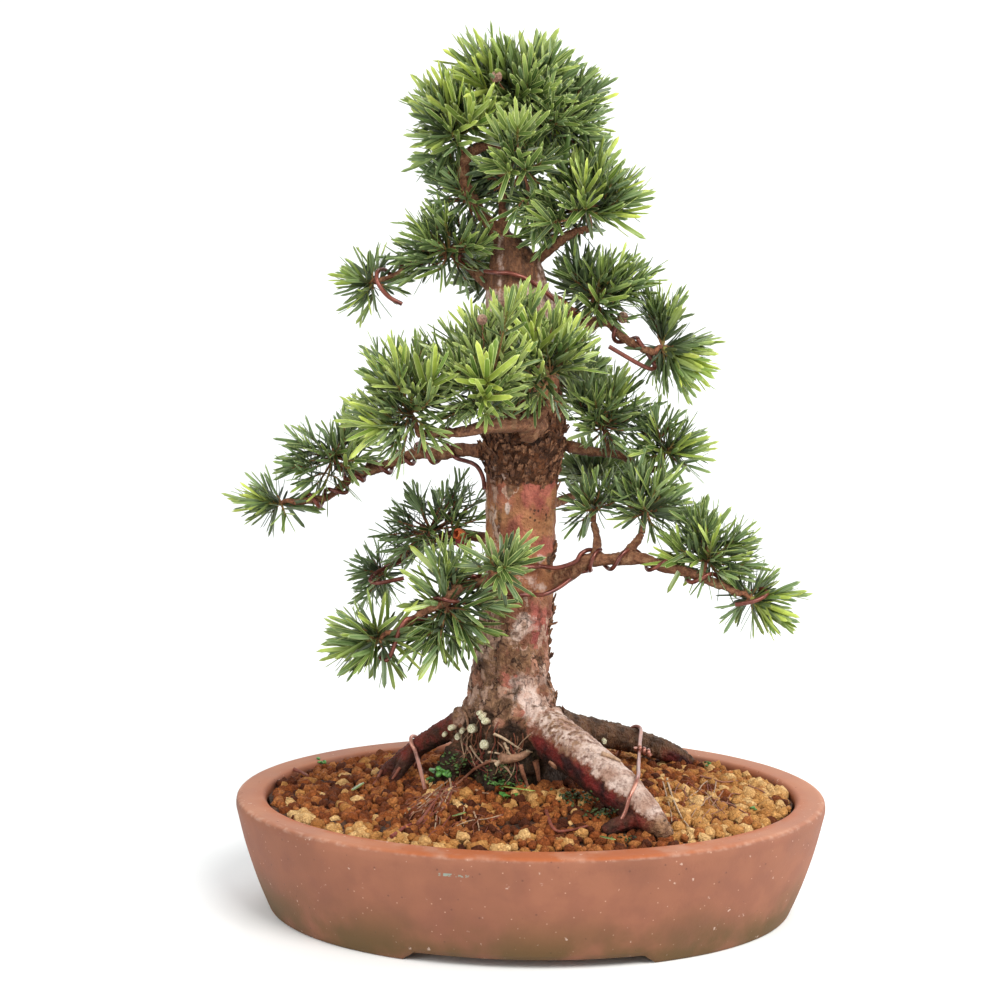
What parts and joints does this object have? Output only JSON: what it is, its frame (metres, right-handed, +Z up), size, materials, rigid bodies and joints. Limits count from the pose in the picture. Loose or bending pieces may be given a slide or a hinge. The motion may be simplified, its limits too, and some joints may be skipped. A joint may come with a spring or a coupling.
{
  "type": "japanese yew bonsai",
  "caption": "Trained dwarf yew tree with surface roots, coiled training wires and pads of needles, in a low oval clay pot filled with granules.",
  "frame": {"origin": "under the middle of the pot, in the plane of its feet", "axes": "+Z up, +X along the pot's length, -Y towards the front of the tree"},
  "size_m": [0.3, 0.23, 0.4432],
  "materials": {
    "clay": "unglazed, matte, fine pale speckle",
    "granules": "baked clay grains, brown and tan, matte",
    "bark": "flaking bark, red-brown to pale grey",
    "needles": "dark green needles, lighter at the shoots' tips, low gloss",
    "wire": "copper-brown anodised",
    "plastic": "dark moulded mesh",
    "bud": "pinkish-brown scales",
    "aril": "dried orange-red flesh",
    "weed": "soft green leaves"
  },
  "bodies": {
    "root": {"aril": "aril", "bud_crown": "bud", "bud_pad_high": "bud", "bud_pad_low": "bud", "bud_upper_right": "bud", "drainage_screen_left": "plastic", "drainage_screen_right": "plastic", "pot": "clay", "soil": "granules", "spray_back_high": "needles", "spray_back_low": "needles", "spray_back_middle": "needles", "spray_crown_back": "needles", "spray_crown_front": "needles", "spray_crown_left": "needles", "spray_crown_low_left": "needles", "spray_crown_low_right": "needles", "spray_crown_right": "needles", "spray_crown_top": "needles", "spray_front_rosette": "needles", "spray_left_low_back": "needles", "spray_left_low_back_tip": "needles", "spray_left_low_front": "needles", "spray_left_low_front_tip": "needles", "spray_left_middle": "needles", "spray_left_middle_tip": "needles", "spray_pad_left": "needles", "spray_pad_middle": "needles", "spray_pad_right": "needles", "spray_right_low": "needles", "spray_right_low_middle": "needles", "spray_right_low_near": "needles", "spray_right_low_tip": "needles", "spray_right_middle": "needles", "spray_right_middle_tip": "needles", "spray_upper_left": "needles", "spray_upper_left_tip": "needles", "spray_upper_right": "needles", "spray_upper_right_tip": "needles", "tie_wire_left": "wire", "tie_wire_right": "wire", "tree_wood": "bark", "weed_front": "weed", "weed_left": "weed", "wire_left_low_back": "wire", "wire_left_low_front": "wire", "wire_left_middle": "wire", "wire_right_low_lower": "wire", "wire_right_low_upper": "wire", "wire_upper_left": "wire", "wire_upper_trunk": "wire"}
  },
  "joints": []
}
